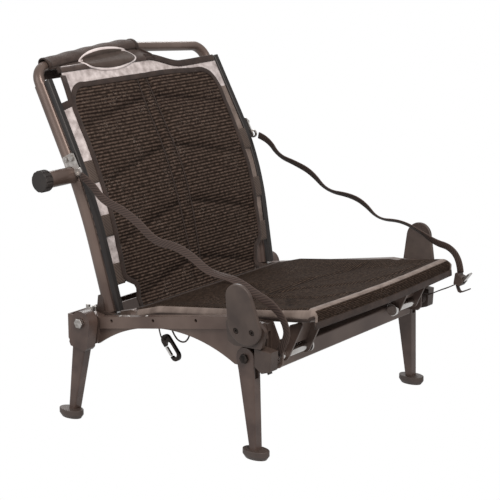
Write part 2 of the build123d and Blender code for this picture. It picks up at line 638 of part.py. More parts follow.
with BuildPart() as prop_bracket:
    # two ears on the front pin, joined by a web behind, that hold the seat's front up
    for x0, x1 in PROP_X:
        with BuildSketch(side_plane(x0)) as ear:
            pin_round = Pos(PIN_Y, PIN_Z) * Edge.make_circle(11)
            tip_round = Pos(-250, 233) * Edge.make_circle(5)
            back_round = Pos(-233, 229) * Edge.make_circle(3)
            make_hull(edges=[pin_round, tip_round, back_round])
            with Locations((PIN_Y, PIN_Z)):
                Circle(PIN_R + FIT, mode=Mode.SUBTRACT)
        extrude(ear.sketch, amount=x1 - x0)
    with BuildSketch(side_plane(PROP_X[0][1])) as prop_web:
        with BuildLine():
            Polyline((-230.5, 230), (-219, 192), (-222, 191), (-234, 229), close=True)
        make_face()
    extrude(prop_web.sketch, amount=PROP_X[1][0] - PROP_X[0][1])
both_sides(prop_bracket, "prop_bracket")


# ---------------------------------------------------------------- straps and what is on them
def corner_radii(points):
    """Largest tidy arc at each corner: 0.45 of the shorter run over the tangent of half the turn."""
    radii = []
    for before, corner, after in zip(points, points[1:], points[2:]):
        run_in, run_out = Vector(corner) - Vector(before), Vector(after) - Vector(corner)
        half_turn = math.radians(run_in.get_angle(run_out)) / 2
        radii.append(0.45 * min(run_in.length, run_out.length) / math.tan(half_turn))
    return radii


def cord_tube(points, radius, name):
    """Plain tube along a cord's route."""
    radii = corner_radii(points)
    with BuildPart() as tube:
        with BuildLine() as route:
            FilletPolyline(*points, radius=radii)
        with BuildSketch(Plane(origin=points[0], z_dir=route.line % 0)):
            Circle(radius)
        sweep(path=route.line)
    length = sum(edge.length for edge in route.edges())
    exact = math.pi * radius ** 2 * length
    print(f"{name}: length {length:.1f}, volume {tube.part.volume:.0f} of {exact:.0f}, radii",
          [round(r) for r in radii])
    finish(tube, name)


cord_tube(STRAP_RIGHT, STRAP_W / 2, "strap_right")
cord_tube(STRAP_LEFT, STRAP_W / 2, "strap_left")


def pin_loop(tail):
    """Webbing loop round a front pin, with a short tail given as a side outline."""
    with BuildPart() as loop:
        x_cylinder(10.2, 229, 243, PIN_Y, PIN_Z)
        x_cylinder(PIN_R + 0.1, 228, 244, PIN_Y, PIN_Z, mode=Mode.SUBTRACT)
        with BuildSketch(side_plane(230)) as strip:
            with BuildLine() as edge:
                Polyline(*tail, close=True)
            make_face(edge.edges())
        extrude(strip.sketch, amount=12)
    return loop


right_loop = pin_loop([(-213, 169.5), (-207, 160), (-208, 149), (-204, 146), (-203, 161), (-210, 171.5)])
finish(mirror(right_loop.part, about=Plane.YZ), "pin_loop_right")
left_loop = pin_loop([(-226, 181), (-296, 217.5), (-297, 220.5), (-224, 186)])
finish(left_loop, "pin_loop_left")

with BuildPart() as cam_buckle:
    with BuildSketch(side_plane(230)):
        with BuildLine():
            Polyline((-296, 241), (-293, 220), (-306, 217), (-312, 225), (-310, 234), (-303, 236), (-302, 240.5), close=True)
        make_face()
    extrude(amount=20)
    with Locations((240, -311, 228)):
        Box(14, 12, 12, mode=Mode.SUBTRACT)
    chamfer(cam_buckle.faces().sort_by(Axis.X)[-1].edges(), 0.8)
finish(cam_buckle, "cam_buckle")

with BuildPart() as cam_lever:
    with BuildSketch(side_plane(234)):
        with BuildLine():
            Polyline((-306.5, 225), (-309, 231), (-322, 243), (-324, 241), (-312.5, 226), (-309, 223), close=True)
        make_face()
    extrude(amount=12)
finish(cam_lever, "cam_lever")

with BuildPart() as strap_tail:
    # loose end of the left strap, folded on itself
    with BuildSketch(side_plane(235)):
        with BuildLine():
            Polyline((-297, 217), (-303, 204), (-322, 214), (-323, 211), (-302, 200.5), (-294.5, 216), close=True)
        make_face()
    extrude(amount=10)
finish(strap_tail, "strap_tail_left")

# ---------------------------------------------------------------- snap clip under the right rail
with BuildPart() as snap_clip:
    with BuildSketch(side_plane(-CLIP_X - 3)):
        with Locations(Location((*CLIP_TOP, 0), -CLIP_LEAN)):
            with Locations((0, -25)):
                SlotCenterToCenter(32, 21, rotation=90)
            with Locations((0, -29)):
                SlotCenterToCenter(19, 12, rotation=90, mode=Mode.SUBTRACT)
            with Locations((0, -6)):
                Circle(2.6, mode=Mode.SUBTRACT)
            with Locations((8.6, -28)):
                Rectangle(6.4, GATE_L + 2, mode=Mode.SUBTRACT)
    extrude(amount=6)
finish(snap_clip, "snap_clip")

with BuildPart() as clip_gate:
    with BuildSketch(side_plane(-CLIP_X - 2.4)):
        with Locations(Location((*CLIP_TOP, 0), -CLIP_LEAN)):
            with Locations((8.4, -28)):
                SlotOverall(GATE_L, 4, rotation=90)
    extrude(amount=4.8)
finish(clip_gate, "clip_gate")

CLIP_CORD = [
    (-244, 30, 201), (-243, 29, 192), (-241, 28, 180), (-238, 27.4, 170), (-231.5, 27.1, 165.4), (-220, 27.1, 165.4),
]
CORD_LOOP = [
    (-244.6, 5, 206), (-239, 5, 197), (-236, 2, 183), (-235, -8, 170), (-235, -24, 169),
    (-236, -35, 182), (-239, -38, 197), (-244.6, -38, 209),
]
cord_tube(CLIP_CORD, 1.3, "clip_cord")
cord_tube(CORD_LOOP, 1.5, "cord_loop")

print(len(made), "pieces")
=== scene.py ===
"""Looks of a folding framed kayak seat: sling fabric, webbing, finishes, light and camera.

Lengths in the shape functions are millimetres from the seat's middle plane, as a maker would
measure them on the bench; at() turns them into the frame's metres.
"""
import json
import math

import bpy
from mathutils import Matrix, Vector


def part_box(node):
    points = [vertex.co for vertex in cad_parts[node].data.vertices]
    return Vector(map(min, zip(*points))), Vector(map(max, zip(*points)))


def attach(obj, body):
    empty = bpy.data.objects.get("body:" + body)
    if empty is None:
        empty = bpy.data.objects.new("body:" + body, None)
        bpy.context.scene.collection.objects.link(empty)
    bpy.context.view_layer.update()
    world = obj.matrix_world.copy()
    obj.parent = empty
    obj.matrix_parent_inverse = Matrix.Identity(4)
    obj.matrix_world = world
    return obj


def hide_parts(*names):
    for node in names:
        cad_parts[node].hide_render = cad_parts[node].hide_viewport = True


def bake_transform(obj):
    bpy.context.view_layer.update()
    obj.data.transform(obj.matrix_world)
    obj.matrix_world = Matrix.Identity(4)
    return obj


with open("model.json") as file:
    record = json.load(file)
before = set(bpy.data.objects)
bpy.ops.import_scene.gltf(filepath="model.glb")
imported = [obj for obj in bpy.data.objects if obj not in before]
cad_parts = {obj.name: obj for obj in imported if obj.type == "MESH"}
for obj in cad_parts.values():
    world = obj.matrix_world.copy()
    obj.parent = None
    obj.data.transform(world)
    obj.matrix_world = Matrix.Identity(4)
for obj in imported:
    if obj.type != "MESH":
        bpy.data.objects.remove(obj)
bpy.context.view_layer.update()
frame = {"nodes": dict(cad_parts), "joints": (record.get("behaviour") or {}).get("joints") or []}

# ---------------------------------------------------------------- where things are
JOINTS = {joint["name"]: joint for joint in frame["joints"]}
RECLINE = Vector(JOINTS["recline"]["pos_m"])
RECLINE_Y = 172.0           # the recline bolts, on the bench
RIGHT, LEFT = -1, 1         # the sitter's right is -X


def at(x, y, z):
    """Bench millimetres to metres in the frame."""
    return Vector((RECLINE.x + x / 1000, RECLINE.y + (y - RECLINE_Y) / 1000, z / 1000))


# ---------------------------------------------------------------- material helpers
def linear(code):
    """sRGB hex such as '#7d716c' to linear RGBA."""
    channels = [int(code[i:i + 2], 16) / 255 for i in (1, 3, 5)]
    return [c / 12.92 if c <= 0.04045 else ((c + 0.055) / 1.055) ** 2.4 for c in channels] + [1.0]


def add(tree, kind, links=None, **settings):
    """Add a node, set its inputs or properties, and link its inputs from other outputs."""
    node = tree.nodes.new(kind)
    for key, value in settings.items():
        if key in node.inputs.keys():
            node.inputs[key].default_value = value
        else:
            setattr(node, key, value)
    for key, source in (links or {}).items():
        tree.links.new(source, node.inputs[key])
    return node


def new_material(name, colour, roughness, metallic=0.0):
    """A material with its shader ready to be wired; returns (material, tree, shader)."""
    material = bpy.data.materials.new(name)
    material.use_nodes = True
    tree = material.node_tree
    shader = tree.nodes["Principled BSDF"]
    shader.inputs["Base Color"].default_value = linear(colour)
    shader.inputs["Roughness"].default_value = roughness
    shader.inputs["Metallic"].default_value = metallic
    return material, tree, shader


def vary(tree, shader, dark, light, scale, contrast=(0.35, 0.65), detail=4.0, coordinates=None):
    """Drift the colour between two hexes with soft noise on object coordinates."""
    source = coordinates or add(tree, "ShaderNodeTexCoord").outputs["Object"]
    noise = add(tree, "ShaderNodeTexNoise", {"Vector": source}, Scale=scale, Detail=detail)
    ramp = add(tree, "ShaderNodeValToRGB", {"Fac": noise.outputs["Fac"]})
    ramp.color_ramp.elements[0].position, ramp.color_ramp.elements[1].position = contrast
    ramp.color_ramp.elements[0].color = linear(dark)
    ramp.color_ramp.elements[1].color = linear(light)
    tree.links.new(ramp.outputs["Color"], shader.inputs["Base Color"])
    return noise, ramp


def bump(tree, shader, height, strength, distance):
    """Wire a height output to the shader's normal."""
    node = add(tree, "ShaderNodeBump", {"Height": height}, Strength=strength, Distance=distance)
    tree.links.new(node.outputs["Normal"], shader.inputs["Normal"])
    return node


def spread(tree, shader, fac, low, high, socket="Roughness"):
    """Let a factor move roughness between two values."""
    node = add(tree, "ShaderNodeMapRange", {"Value": fac})
    node.inputs["To Min"].default_value, node.inputs["To Max"].default_value = low, high
    tree.links.new(node.outputs["Result"], shader.inputs[socket])


# ---------------------------------------------------------------- materials
def anodised_aluminium():
    """Extruded aluminium, etched and anodised bronze: satin, with faint draw lines along it."""
    material, tree, shader = new_material("anodised_aluminium", "#5b4e48", 0.38, 0.35)
    noise, _ = vary(tree, shader, "#574842", "#6f5f57", 9.0)
    spread(tree, shader, noise.outputs["Fac"], 0.28, 0.44)
    where = add(tree, "ShaderNodeTexCoord")
    squeeze = add(tree, "ShaderNodeMapping", {"Vector": where.outputs["Object"]}, Scale=(400, 400, 12))
    grain = add(tree, "ShaderNodeTexNoise", {"Vector": squeeze.outputs["Vector"]}, Scale=1.0, Detail=2.0)
    bump(tree, shader, grain.outputs["Fac"], 0.08, 0.0004)
    return material


def satin_tube():
    """Bent aluminium tube, anodised bronze: smoother than the extrusions, no draw lines."""
    material, tree, shader = new_material("satin_tube", "#5d504a", 0.35, 0.35)
    noise, _ = vary(tree, shader, "#594a43", "#73635b", 14.0)
    spread(tree, shader, noise.outputs["Fac"], 0.27, 0.4)
    return material


def moulded_nylon(name, dark, light, roughness=0.47):
    """Glass-filled nylon from a spark-eroded mould: matt, with a fine grain about 1 mm across."""
    material, tree, shader = new_material(name, light, roughness)
    vary(tree, shader, dark, light, 22.0)
    where = add(tree, "ShaderNodeTexCoord")
    grit = add(tree, "ShaderNodeTexVoronoi", {"Vector": where.outputs["Object"]}, Scale=900.0)
    bump(tree, shader, grit.outputs["Distance"], 0.16, 0.0005)
    return material


def polished_steel():
    """Turned stainless pins: bright, mirror-like along the barrel."""
    material, tree, shader = new_material("polished_steel", "#d9d5d2", 0.16, 1.0)
    noise, _ = vary(tree, shader, "#c6c1bd", "#e6e3e0", 30.0)
    spread(tree, shader, noise.outputs["Fac"], 0.12, 0.24)
    return material


def zinc_steel():
    """Zinc-plated bolts: pale grey with a dull spangle."""
    material, tree, shader = new_material("zinc_steel", "#b9b4b0", 0.3, 1.0)
    noise, _ = vary(tree, shader, "#a49e99", "#cbc7c3", 160.0)
    spread(tree, shader, noise.outputs["Fac"], 0.22, 0.42)
    return material


def black_oxide_steel():
    """Blackened steel screws and clip: dark, with a low satin shine."""
    material, tree, shader = new_material("black_oxide_steel", "#2c2623", 0.32, 0.7)
    noise, _ = vary(tree, shader, "#211c1a", "#3d3531", 90.0)
    spread(tree, shader, noise.outputs["Fac"], 0.26, 0.42)
    return material


def bare_aluminium():
    """Stamped plate, tumbled and left bare: light satin grey."""
    material, tree, shader = new_material("bare_aluminium", "#c9c4c0", 0.34, 0.9)
    noise, _ = vary(tree, shader, "#b0aaa5", "#dcd8d4", 60.0)
    spread(tree, shader, noise.outputs["Fac"], 0.26, 0.45)
    return material


def sheet_coordinates(tree):
    """The cloth's own map, in metres across and up the cut."""
    return add(tree, "ShaderNodeUVMap", uv_map="cut").outputs["UV"]


def stripes(tree, source, direction, pitch, distortion=0.0, profile="SIN"):
    """Even bands across the cloth, one every pitch metres."""
    wave = add(tree, "ShaderNodeTexWave", {"Vector": source}, Scale=math.pi / 10 / pitch,
               Distortion=distortion, bands_direction=direction, wave_profile=profile)
    wave.inputs["Detail"].default_value = 1.0
    wave.inputs["Detail Scale"].default_value = 0.6
    return wave.outputs["Fac"]


RIB_PITCH = 0.0062          # ribs about 6 mm apart, by estimate


def sling_mesh(name, dark, light, rib=RIB_PITCH, sparkle=0.5, rib_depth=0.0012):
    """Vinyl-coated polyester sling mesh: ribs across the cloth, with painted highlights where a few open
    cells glint, and painted shade darkening the seam creases.
    """
    material, tree, shader = new_material(name, light, 0.85)
    cut = sheet_coordinates(tree)
    ribs = stripes(tree, cut, "Y", rib, 0.35)
    cells = stripes(tree, cut, "X", rib * 0.75, 0.6)
    blotch = add(tree, "ShaderNodeTexNoise", {"Vector": cut}, Scale=16.0, Detail=3.0)
    glints = add(tree, "ShaderNodeTexVoronoi", {"Vector": cut}, Scale=1 / (rib * 0.62))
    breaks = add(tree, "ShaderNodeTexNoise", {"Vector": cut}, Scale=150.0, Detail=2.0)
    dash = add(tree, "ShaderNodeMapRange", {"Value": breaks.outputs["Fac"]})
    dash.inputs["From Min"].default_value, dash.inputs["From Max"].default_value = 0.36, 0.64
    dash.inputs["To Min"].default_value = 0.25
    rows = add(tree, "ShaderNodeMath", {0: ribs, 1: dash.outputs["Result"]}, operation="MULTIPLY")
    # broken ribs, dark in the grooves between them
    base = add(tree, "ShaderNodeMix", {"Factor": rows.outputs["Value"]}, data_type="RGBA")
    base.inputs["A"].default_value = linear(dark)
    base.inputs["B"].default_value = linear(light)
    # painted highlights: a few open cells are made brighter, in drifts, as painted glints
    spots = add(tree, "ShaderNodeMapRange", {"Value": glints.outputs["Distance"]})
    spots.inputs["From Min"].default_value, spots.inputs["From Max"].default_value = 0.3, 0.12
    drift = add(tree, "ShaderNodeMapRange", {"Value": blotch.outputs["Fac"]})
    drift.inputs["From Min"].default_value, drift.inputs["From Max"].default_value = 0.48, 0.66
    some = add(tree, "ShaderNodeMath", {0: spots.outputs["Result"], 1: drift.outputs["Result"]},
               operation="MULTIPLY")
    amount = add(tree, "ShaderNodeMath", {0: some.outputs["Value"]}, operation="MULTIPLY")
    amount.inputs[1].default_value = sparkle
    painted_glint = add(tree, "ShaderNodeMix", {"Factor": amount.outputs["Value"], "A": base.outputs["Result"]},
               data_type="RGBA")
    # the painted glint colour
    painted_glint.inputs["B"].default_value = linear("#a2958c")
    # painted shade: the crease weights darken the cloth towards near-black along the seams, standing in for
    # the shade in the creases
    painted_crease_shade = add(tree, "ShaderNodeAttribute", attribute_name="painted_crease_shade")
    shade = add(tree, "ShaderNodeMix", {"Factor": painted_crease_shade.outputs["Fac"], "A": painted_glint.outputs["Result"]},
                data_type="RGBA")
    shade.inputs["B"].default_value = linear("#0a0706")
    tree.links.new(shade.outputs["Result"], shader.inputs["Base Color"])
    weave = add(tree, "ShaderNodeMath", {0: ribs, 1: cells}, operation="MULTIPLY")
    height = add(tree, "ShaderNodeMath", {0: ribs, 1: weave.outputs["Value"]}, operation="ADD")
    bump(tree, shader, height.outputs["Value"], 0.75, rib_depth)
    shader.inputs["Specular IOR Level"].default_value = 0.06
    return material


def border_cloth():
    """Light coated nylon border: plain weave with a slight sheen and soft water marks."""
    material, tree, shader = new_material("border_cloth", "#cfc4c4", 0.55)
    cut = sheet_coordinates(tree)
    vary(tree, shader, "#9a8f8c", "#d6ccca", 70.0, (0.32, 0.68), coordinates=cut)
    warp, weft = stripes(tree, cut, "X", 0.0016), stripes(tree, cut, "Y", 0.0016)
    weave = add(tree, "ShaderNodeMath", {0: warp, 1: weft}, operation="ADD")
    bump(tree, shader, weave.outputs["Value"], 0.3, 0.0003)
    shader.inputs["Sheen Weight"].default_value = 0.1
    return material


def packcloth(name, dark, light):
    """Coarse textured nylon, as used on pack straps and sleeves: matt, with a visible thread."""
    material, tree, shader = new_material(name, light, 0.72)
    cut = sheet_coordinates(tree)
    vary(tree, shader, dark, light, 40.0, (0.3, 0.7), coordinates=cut)
    warp, weft = stripes(tree, cut, "X", 0.0022), stripes(tree, cut, "Y", 0.0022)
    weave = add(tree, "ShaderNodeMath", {0: warp, 1: weft}, operation="MULTIPLY")
    bump(tree, shader, weave.outputs["Value"], 0.45, 0.0005)
    shader.inputs["Sheen Weight"].default_value = 0.06
    shader.inputs["Specular IOR Level"].default_value = 0.3
    return material


def webbing(name, dark, light, width):
    """Woven polyester webbing: herringbone ribs across it and a sewn line near each edge."""
    material, tree, shader = new_material(name, light, 0.66)
    cut = sheet_coordinates(tree)
    ribs = stripes(tree, cut, "DIAGONAL", 0.0032, 0.2)
    tint = add(tree, "ShaderNodeMix", {"Factor": ribs}, data_type="RGBA")
    tint.inputs["A"].default_value = linear(dark)
    tint.inputs["B"].default_value = linear(light)
    edge = stripes(tree, cut, "X", width)
    selvedge = add(tree, "ShaderNodeMapRange", {"Value": edge})
    selvedge.inputs["From Min"].default_value, selvedge.inputs["From Max"].default_value = 0.0, 0.25
    both = add(tree, "ShaderNodeMix", {"Factor": selvedge.outputs["Result"], "B": tint.outputs["Result"]},
               data_type="RGBA")
    both.inputs["A"].default_value = linear(light)
    tree.links.new(both.outputs["Result"], shader.inputs["Base Color"])
    bump(tree, shader, ribs, 0.5, 0.0005)
    shader.inputs["Sheen Weight"].default_value = 0.06
    shader.inputs["Specular IOR Level"].default_value = 0.3
    return material


ALUMINIUM = anodised_aluminium()
TUBE = satin_tube()
NYLON = moulded_nylon("moulded_nylon", "#3b2f2a", "#4e413a")
LEG_NYLON = moulded_nylon("leg_nylon", "#42342f", "#56463f", 0.38)
# painted shade: near-black nylon standing in for the shadow in the sail track
TRACK_SHADE = moulded_nylon("sail_track_painted_shade", "#120d0b", "#1e1714", 0.5)
LOBE_NYLON = moulded_nylon("crossbar_nylon", "#55473f", "#6a5c54")
RUBBER = moulded_nylon("moulded_rubber", "#1d1816", "#2c2522", 0.6)
FOOT_NYLON = moulded_nylon("foot_nylon", "#3a302c", "#4a3f3a", 0.5)
CHROME = polished_steel()
ZINC = zinc_steel()
BLACK_STEEL = black_oxide_steel()
PLATE = bare_aluminium()
BACK_MESH = sling_mesh("back_sling_mesh", "#1c1511", "#65554c", sparkle=0.5)
SEAT_MESH = sling_mesh("seat_sling_mesh", "#1a130f", "#4f4036", 0.0055, 0.35, 0.0008)
BORDER = border_cloth()
SLEEVE = packcloth("sleeve_packcloth", "#372c28", "#4f423c")
BINDING = packcloth("binding_tape", "#271d19", "#3d302a")
# hem cloth: the seat's hem strips, and painted shade on the back's far border
HEM_AND_SHADE = packcloth("hem_tape_and_painted_shade", "#5f524b", "#85776f")
STRAP = webbing("strap_webbing", "#2a1f1b", "#43352f", 0.014)
BAND = webbing("band_webbing", "#3d322c", "#584b43", 0.038)
CORD = webbing("thin_cord_sheath", "#221a17", "#3a302b", 0.003)
PATCH_FACE = packcloth("patch_face", "#40352f", "#4d413b")
PATCH_RIM = packcloth("patch_rim", "#c9bdbb", "#e6dddb")


def paint(material, *names):
    """Give CAD nodes a material."""
    for name in names:
        for side in ("", "_left", "_right"):
            node = frame["nodes"].get(name + side)
            if node is not None:
                node.data.materials.clear()
                node.data.materials.append(material)


paint(ALUMINIUM, "side_rail", "back_upright", "front_crossbar", "rear_crossbar", "prop_bracket")
paint(LEG_NYLON, "front_leg", "rear_leg")
paint(TUBE, "top_bow", "seat_frame", "seat_rear_tube", "dial_housing")
paint(NYLON, "corner_block", "pin_housing", "paddle_bracket", "paddle", "recline_lug", "cam_buckle")
paint(LOBE_NYLON, "seat_hinge_bracket")
paint(RUBBER, "dial_knob")
paint(FOOT_NYLON, "front_foot", "rear_foot")
paint(CHROME, "front_pin", "cam_lever", "clip_gate")
paint(BLACK_STEEL, "snap_clip", "paddle_screws", "front_leg_bolts")
paint(ZINC, "pivot_bolts", "wing_nuts", "anchor_bolts")
paint(PLATE, "strap_anchor", "lumbar_roller")


# ---------------------------------------------------------------- shape helpers
def mesh_piece(name, points, faces, cuts, materials, body, painted_crease_shades=None):
    """A mesh from points in metres; cuts holds one cloth-map pair for each point, the crease weights one
    painted shade value for each point.
    """
    mesh = bpy.data.meshes.new(name)
    mesh.from_pydata([tuple(p) for p in points], [], faces)
    layer = mesh.uv_layers.new(name="cut")
    for loop in mesh.loops:
        layer.data[loop.index].uv = cuts[loop.vertex_index]
    if painted_crease_shades:
        mesh.attributes.new("painted_crease_shade", "FLOAT", "POINT").data.foreach_set("value", painted_crease_shades)
    for material in materials:
        mesh.materials.append(material)
    mesh.polygons.foreach_set("use_smooth", [True] * len(mesh.polygons))
    piece = bpy.data.objects.new(name, mesh)
    bpy.context.scene.collection.objects.link(piece)
    if body:
        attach(piece, body)
    return piece


def only(piece):
    """Select one piece and nothing else."""
    bpy.ops.object.select_all(action="DESELECT")
    piece.select_set(True)
    bpy.context.view_layer.objects.active = piece


def modify(piece, kind, **settings):
    """Add a modifier and apply it."""
    only(piece)
    modifier = piece.modifiers.new(kind.title(), kind)
    for key, value in settings.items():
        setattr(modifier, key, value)
    bpy.ops.object.modifier_apply(modifier=modifier.name)


def grid_faces(columns, rows, flip=False):
    """Quads of a grid whose points run row by row."""
    faces = []
    for j in range(rows - 1):
        for i in range(columns - 1):
            a = j * columns + i
            quad = (a, a + 1, a + 1 + columns, a + columns)
            faces.append(quad[::-1] if flip else quad)
    return faces


def rounded_section(width, thickness, steps=4):
    """A flat band's section: straight faces and round edges, as (across, out) pairs."""
    half, r = width / 2 - thickness / 2, thickness / 2
    right = [(half + r * math.cos(a), r * math.sin(a))
             for a in (math.pi * (k / steps - 0.5) for k in range(steps + 1))]
    left = [(-x, -y) for x, y in right]
    middle_top, middle_low = [(0.0, r)], [(0.0, -r)]
    return right + middle_top + left + middle_low


def band(name, path, outs, width, thickness, material, body, closed=False):
    """A flat band along a path of points in metres; outs are the directions its face looks."""
    section = rounded_section(width, thickness)
    points, cuts, run = [], [], 0.0
    count = len(path)
    for i, (place, out) in enumerate(zip(path, outs)):
        before = path[i - 1] if i or closed else path[i]
        after = path[(i + 1) % count] if closed or i + 1 < count else path[i]
        along = (after - before).normalized()
        across = along.cross(out).normalized()
        face = across.cross(along).normalized()
        if i:
            run += (place - path[i - 1]).length
        for x, y in section:
            points.append(place + across * x + face * y)
            cuts.append((x + width / 2, run))
    ring = len(section)
    faces = []
    for i in range(count if closed else count - 1):
        for k in range(ring):
            a, b = i * ring + k, i * ring + (k + 1) % ring
            c, d = ((i + 1) % count) * ring + (k + 1) % ring, ((i + 1) % count) * ring + k
            faces.append((a, b, c, d))
    if not closed:
        faces.append(tuple(range(ring))[::-1])
        faces.append(tuple(range((count - 1) * ring, count * ring)))
    piece = mesh_piece(name, points, faces, cuts, [material], body)
    outward(piece)
    return piece


def outward(piece):
    """Point every face out."""
    only(piece)
    bpy.ops.object.mode_set(mode="EDIT")
    bpy.ops.mesh.select_all(action="SELECT")
    bpy.ops.mesh.normals_make_consistent(inside=False)
    bpy.ops.object.mode_set(mode="OBJECT")


def even(points, step):
    """The same polyline with points every step metres."""
    out = [points[0]]
    for a, b in zip(points, points[1:]):
        n = max(1, round((b - a).length / step))
        out += [a.lerp(b, k / n) for k in range(1, n + 1)]
    return out


def near_line(x, y, line):
    """Distance from (x, y) to a polyline, and how far along it the nearest point is, 0 to 1."""
    best, share = 1e9, 0.0
    for k, ((ax, ay), (bx, by)) in enumerate(zip(line, line[1:])):
        dx, dy = bx - ax, by - ay
        t = max(0.0, min(1.0, ((x - ax) * dx + (y - ay) * dy) / (dx * dx + dy * dy)))
        gap = math.hypot(x - ax - t * dx, y - ay - t * dy)
        if gap < best:
            best, share = gap, (k + t) / (len(line) - 1)
    return best, share


def seam_depth(x, y, lines, width, fade=0.0):
    """How deep the nearest seams pull the cloth in, 0 to 1; a seam may fade towards its far end."""
    pull = 0.0
    for line in lines:
        gap, share = near_line(x, y, line)
        pull = max(pull, math.exp(-(gap / width) ** 2) * (1 - fade * share))
    return pull


def smoothstep(low, high, value):
    t = max(0.0, min(1.0, (value - low) / (high - low)))
    return t * t * (3 - 2 * t)


# ---------------------------------------------------------------- camera and light
def camera():
    """A long lens about three metres off, a little above the seat."""
    data = bpy.data.cameras.new("view")
    data.sensor_width, data.lens = 36.0, 114.1
    item = bpy.data.objects.new("view", data)
    bpy.context.scene.collection.objects.link(item)
    item.location = at(-2293.7, -1705.1, 975.1)
    item.rotation_euler = (math.pi / 2 - 0.23623, 0, -0.92881)
    data.clip_end = 60
    bpy.context.scene.camera = item


def area_light(name, place, target, size, power, warmth="#ffffff"):
    data = bpy.data.lights.new(name, "AREA")
    data.shape, data.size, data.energy = "SQUARE", size, power
    data.color = linear(warmth)[:3]
    item = bpy.data.objects.new(name, data)
    item.location = place
    item.rotation_euler = (Vector(target) - Vector(place)).to_track_quat("-Z", "Y").to_euler()
    bpy.context.scene.collection.objects.link(item)


def studio():
    """A white surround that is brighter to the eye than as a light; a soft key, a fill and a rim."""
    camera()
    area_light("key", (-1.6, -1.9, 2.9), (0, 0, 0.3), 1.3, 88, "#fff6f0")
    area_light("fill", (-2.6, 1.2, 1.4), (0, 0, 0.3), 1.8, 20)
    area_light("rim", (1.8, 1.6, 2.2), (0, 0, 0.4), 1.2, 34)
    world = bpy.data.worlds.new("studio")
    bpy.context.scene.world = world
    world.use_nodes = True
    background = world.node_tree.nodes["Background"]
    background.inputs["Color"].default_value = (1, 1, 1, 1)
    ray = add(world.node_tree, "ShaderNodeLightPath")
    strength = add(world.node_tree, "ShaderNodeMapRange", {"Value": ray.outputs["Is Camera Ray"]})
    strength.inputs["To Min"].default_value = 0.6
    world.node_tree.links.new(strength.outputs["Result"], background.inputs["Strength"])
    bpy.context.scene.view_settings.view_transform = "Standard"


# ---------------------------------------------------------------- straps and cords
STRAP_W, STRAP_T = 0.014, 0.0026
STRAP_RIGHT = [
    (-265, 186, 447), (-264, 163, 437), (-263, 138, 409), (-262, 98, 398), (-261, 58, 379), (-261, 19, 349),
    (-260, -24, 348), (-259, -62, 334), (-258, -96, 311), (-257, -150, 309), (-253, -192, 288),
    (-247, -224, 272), (-241, -243, 246), (-237, -246, 215), (-236, -225, 187),
]
STRAP_LEFT = [
    (265, 186, 449), (264, 161, 443), (263, 134, 412), (262, 92, 402), (261, 52, 388), (260, 14, 355),
    (260, -40, 353), (259, -74, 342), (258, -108, 314), (257, -158, 318), (254, -200, 306),
    (250, -240, 288), (246, -275, 285), (242, -298, 264), (240, -302, 241),
]
CLIP_CORD = [
    (-244, 30, 201), (-243, 29, 192), (-241, 28, 180), (-238, 27.4, 170), (-231.5, 27.1, 165.4),
    (-220, 27.1, 165.4),
]
CORD_LOOP = [
    (-244.6, 5, 206), (-239, 5, 197), (-236, 2, 183), (-235, -8, 170), (-235, -24, 169),
    (-236, -35, 182), (-239, -38, 197), (-244.6, -38, 209),
]


def spline(name, route, radius=0.0):
    """A NURBS curve with the route's points as its control points."""
    data = bpy.data.curves.new(name, "CURVE")
    data.dimensions = "3D"
    data.resolution_u = 10
    line = data.splines.new("NURBS")
    line.points.add(len(route) - 1)
    for point, place in zip(line.points, route):
        point.co = (*at(*place), 1.0)
    line.order_u = 3
    line.use_endpoint_u = True
    data.bevel_depth = radius
    data.bevel_resolution = 3
    data.use_fill_caps = radius > 0
    item = bpy.data.objects.new(name, data)
    bpy.context.scene.collection.objects.link(item)
    return item


def read_path(item):
    """The points that a bare curve runs through."""
    mesh = bpy.data.meshes.new_from_object(item)
    path = [item.matrix_world @ v.co for v in mesh.vertices]
    bpy.data.meshes.remove(mesh)
    bpy.data.objects.remove(item)
    return path


def run_length(path):
    return sum((b - a).length for a, b in zip(path, path[1:]))


def side_strap(name, route, side, turns):
    """Flat webbing that winds a little; turns are the face's angles, evenly along the strap."""
    path = read_path(spline(name + "_line", route))
    total, run, outs = run_length(path), 0.0, []
    for i, place in enumerate(path):
        if i:
            run += (place - path[i - 1]).length
        spot = run / total * (len(turns) - 1)
        k = min(int(spot), len(turns) - 2)
        mix = smoothstep(0, 1, spot - k)
        angle = math.radians(turns[k] * (1 - mix) + turns[k + 1] * mix)
        outs.append(Vector((side * math.cos(angle), 0, math.sin(angle))))
    piece = band(name, path, outs, STRAP_W, STRAP_T, STRAP, None)
    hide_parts(name.replace("webbing_", "strap_"))
    return piece, path


def straps():
    """The two recline straps, between the base and the back."""
    for side, route, turns in (
        (RIGHT, STRAP_RIGHT, (5, 28, 40, 20, 44, 62, 40, 0, 0)),
        (LEFT, STRAP_LEFT, (5, 35, 20, 48, 30, 60, 45, 10, 0)),
    ):
        word = "right" if side == RIGHT else "left"
        piece, _ = side_strap("webbing_" + word, route, side, turns)
        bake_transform(piece)


def thin_cords():
    """The clip's cord and the loop beside it, hanging from the right rail."""
    for name, node, route, radius in (
        ("clip_cord_line", "clip_cord", CLIP_CORD, 0.0013),
        ("loop_cord_line", "cord_loop", CORD_LOOP, 0.0015),
    ):
        path = read_path(spline(name + "_probe", route))
        item = spline(name, route, radius)
        item.data.materials.append(CORD)
        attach(item, "base")
        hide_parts(node)


